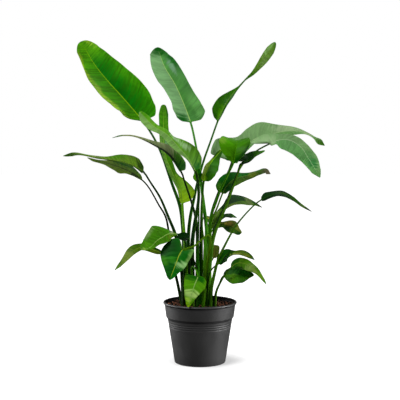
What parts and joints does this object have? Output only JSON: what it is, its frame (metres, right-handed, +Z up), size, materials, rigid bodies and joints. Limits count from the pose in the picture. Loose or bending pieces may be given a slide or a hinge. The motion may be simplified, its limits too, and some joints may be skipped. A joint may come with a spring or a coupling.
{
  "type": "potted plant",
  "caption": "Potted bird of paradise plant: broad waxy leaves on long stalks fan out of soil in a tapered black plastic nursery pot with a rolled rim.",
  "frame": {"origin": "centre of the pot's flat underside", "axes": "+Z up along the pot's axis, -Y towards the front as pictured, +X to the right as seen from the front"},
  "size_m": [0.8518, 0.3744, 1.0686],
  "materials": {
    "pot": "moulded black polypropylene, satin",
    "soil": "loose dark compost, matt",
    "leaf_high_left": "waxy leaf, semi-gloss",
    "leaf_high_middle": "waxy leaf, semi-gloss",
    "leaf_narrow_upright": "waxy leaf, semi-gloss",
    "leaf_middle_left": "waxy leaf, semi-gloss",
    "leaf_dark_tail": "waxy leaf, semi-gloss",
    "leaf_far_left_upper": "waxy leaf, semi-gloss",
    "leaf_far_left_lower": "waxy leaf, semi-gloss",
    "leaf_high_right": "waxy leaf, semi-gloss",
    "leaf_right_long": "waxy leaf, semi-gloss",
    "leaf_right_drooping": "waxy leaf, semi-gloss",
    "leaf_heart_bright": "waxy leaf, semi-gloss",
    "leaf_heart_dark": "waxy leaf, semi-gloss",
    "leaf_centre_olive": "waxy leaf, semi-gloss",
    "leaf_centre_small": "waxy leaf, semi-gloss",
    "leaf_right_dark": "waxy leaf, semi-gloss",
    "leaf_right_arched": "waxy leaf, semi-gloss",
    "leaf_thin_stalked": "waxy leaf, semi-gloss",
    "leaf_small_right": "waxy leaf, semi-gloss",
    "leaf_brown_right": "dry withered leaf, dull",
    "leaf_brown_stub": "dry withered leaf, dull",
    "leaf_low_right_arched": "waxy leaf, semi-gloss",
    "leaf_low_right_upper": "waxy leaf, semi-gloss",
    "leaf_low_right_lower": "waxy leaf, semi-gloss",
    "leaf_low_left_bright": "waxy leaf, semi-gloss",
    "leaf_low_left_outer": "waxy leaf, semi-gloss",
    "leaf_low_left_dark": "waxy leaf, semi-gloss",
    "leaf_low_left_heart": "waxy leaf, semi-gloss",
    "leaf_low_front": "waxy leaf, semi-gloss"
  },
  "bodies": {
    "root": {"pot": "pot", "soil": "soil", "leaf_high_left": "leaf_high_left", "leaf_high_middle": "leaf_high_middle", "leaf_narrow_upright": "leaf_narrow_upright", "leaf_middle_left": "leaf_middle_left", "leaf_dark_tail": "leaf_dark_tail", "leaf_far_left_upper": "leaf_far_left_upper", "leaf_far_left_lower": "leaf_far_left_lower", "leaf_high_right": "leaf_high_right", "leaf_right_long": "leaf_right_long", "leaf_right_drooping": "leaf_right_drooping", "leaf_heart_bright": "leaf_heart_bright", "leaf_heart_dark": "leaf_heart_dark", "leaf_centre_olive": "leaf_centre_olive", "leaf_centre_small": "leaf_centre_small", "leaf_right_dark": "leaf_right_dark", "leaf_right_arched": "leaf_right_arched", "leaf_thin_stalked": "leaf_thin_stalked", "leaf_small_right": "leaf_small_right", "leaf_brown_right": "leaf_brown_right", "leaf_brown_stub": "leaf_brown_stub", "leaf_low_right_arched": "leaf_low_right_arched", "leaf_low_right_upper": "leaf_low_right_upper", "leaf_low_right_lower": "leaf_low_right_lower", "leaf_low_left_bright": "leaf_low_left_bright", "leaf_low_left_outer": "leaf_low_left_outer", "leaf_low_left_dark": "leaf_low_left_dark", "leaf_low_left_heart": "leaf_low_left_heart", "leaf_low_front": "leaf_low_front"}
  },
  "joints": []
}
